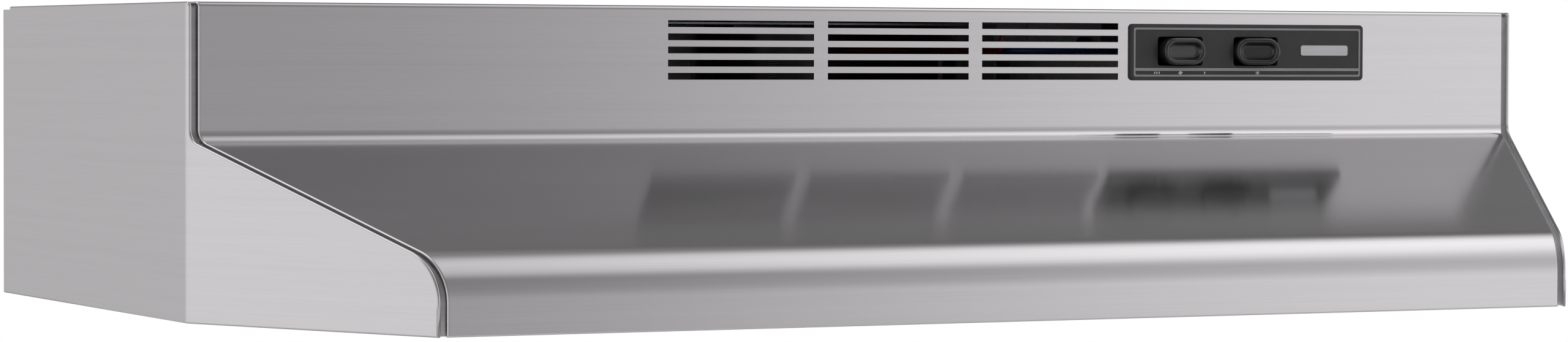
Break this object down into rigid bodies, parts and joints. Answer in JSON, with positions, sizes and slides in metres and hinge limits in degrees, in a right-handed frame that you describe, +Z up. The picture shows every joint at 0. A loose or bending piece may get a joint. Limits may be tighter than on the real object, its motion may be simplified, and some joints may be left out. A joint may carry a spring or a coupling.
{
  "type": "under cabinet range hood",
  "caption": "Under cabinet range hood, non-ducted, with a sloping canopy, a slotted front grille, rocker switches, a swing-down charcoal filter and a lamp lens.",
  "frame": {"origin": "middle of the back edge of the top face, where the wall meets the underside of the cabinet", "axes": "+Z up, +X to the right seen from the front, -Y towards the cook"},
  "size_m": [0.762, 0.4445, 0.1524],
  "materials": {
    "stainless": "fine horizontal brushed grain",
    "pan_steel": "brushed, plainer than the outside",
    "filter_alloy": "satin expanded and rolled sheet",
    "charcoal": "granular black carbon mat",
    "zinc_plate": "galvanised sheet with a faint spangle",
    "spring_steel": "bright rolled strip",
    "motor_paint": "black enamel",
    "lamination": "stacked steel laminations",
    "copper_wire": "enamelled copper winding",
    "ground_steel": "ground shaft",
    "bronze": "oil-filled sintered bronze",
    "black_rubber": "matt",
    "blade_alloy": "stamped, satin",
    "lamp_white": "white reflective enamel",
    "socket_ceramic": "glazed off-white body",
    "brass_shell": "formed sheet",
    "frosted_glass": "frosted inside",
    "cap_alloy": "rolled screw cap",
    "lens_plastic": "ribbed translucent moulding",
    "plate_plastic": "black, fine satin face",
    "badge_satin": "plain satin bar",
    "switch_plastic": "black moulding",
    "rocker_plastic": "black, polished edge",
    "screw_steel": "bright zinc",
    "ground_green": "green screw",
    "nut_orange": "moulded twist connector",
    "wire_black": "insulated stranded wire",
    "wire_white": "insulated stranded wire",
    "wire_blue": "insulated stranded wire",
    "wire_red": "insulated stranded wire",
    "wire_green": "insulated stranded wire"
  },
  "bodies": {
    "hood": {"canopy_sheet": "stainless", "side_panel_left": "stainless", "side_panel_right": "stainless", "back_panel": "stainless", "bottom_pan": "pan_steel", "filter_ledge": "zinc_plate", "filter_springs": "spring_steel", "fan_shroud": "zinc_plate", "motor_bracket": "zinc_plate", "motor_housing": "motor_paint", "motor_end_bell": "motor_paint", "motor_stator": "lamination", "motor_coils": "copper_wire", "motor_bushes": "bronze", "motor_grommets": "black_rubber", "motor_studs": "zinc_plate", "motor_nuts": "zinc_plate", "lamp_housing": "lamp_white", "lamp_socket": "socket_ceramic", "socket_shell": "brass_shell", "socket_bracket": "zinc_plate", "lens_catch": "spring_steel", "switch_plate": "plate_plastic", "plate_badge": "badge_satin", "fan_switch_case": "switch_plastic", "light_switch_case": "switch_plastic", "switch_terminals": "brass_shell", "wiring_box": "zinc_plate", "wiring_cover": "pan_steel", "wiring_cover_screws": "screw_steel", "knockout_slug": "stainless", "ground_screw": "ground_green", "wire_bushing": "black_rubber", "wire_nuts": "nut_orange", "wire_black_feed": "wire_black", "wire_white_neutral": "wire_white", "wire_blue_high": "wire_blue", "wire_red_low": "wire_red", "wire_lamp_feed": "wire_black", "wire_green_ground": "wire_green", "pan_screws": "screw_steel", "shroud_screws": "screw_steel", "bracket_screws": "screw_steel", "lamp_screws": "screw_steel", "ledge_rivets": "screw_steel"},
    "filter": {"filter_frame": "filter_alloy", "filter_mesh_lower": "filter_alloy", "filter_mesh_upper": "filter_alloy", "charcoal_pad": "charcoal", "filter_pull_tab": "filter_alloy"},
    "fan": {"motor_rotor": "lamination", "motor_shaft": "ground_steel", "fan_blades": "blade_alloy", "blade_clip": "spring_steel"},
    "lens": {"light_lens": "lens_plastic"},
    "bulb": {"bulb_glass": "frosted_glass", "bulb_cap": "cap_alloy"},
    "fan_rocker": {"fan_rocker": "rocker_plastic"},
    "light_rocker": {"light_rocker": "rocker_plastic"}
  },
  "joints": [
    {"name": "fan_rocker_tilt", "type": "hinge", "parent": "hood", "child": "fan_rocker", "pos_m": [0.1675, -0.297, -0.02185], "axis": [0, 0, 1], "range_deg": [-8, 8]},
    {"name": "light_rocker_tilt", "type": "hinge", "parent": "hood", "child": "light_rocker", "pos_m": [0.2145, -0.297, -0.02185], "axis": [0, 0, 1], "range_deg": [0, 16]},
    {"name": "fan_spin", "type": "hinge", "parent": "hood", "child": "fan", "pos_m": [0, -0.15, -0.0524], "axis": [0, 0, 1], "continuous": true},
    {"name": "filter_swing", "type": "hinge", "parent": "hood", "child": "filter", "pos_m": [0, -0.0465, -0.0951], "axis": [1, 0, 0], "range_deg": [0, 55]},
    {"name": "lens_swing", "type": "hinge", "parent": "hood", "child": "lens", "pos_m": [0.249, -0.126, -0.0934], "axis": [1, 0, 0], "range_deg": [0, 70]},
    {"name": "bulb_draw", "type": "slide", "parent": "hood", "child": "bulb", "axis": [1, 0, 0], "range_m": [0, 0.028]}
  ]
}
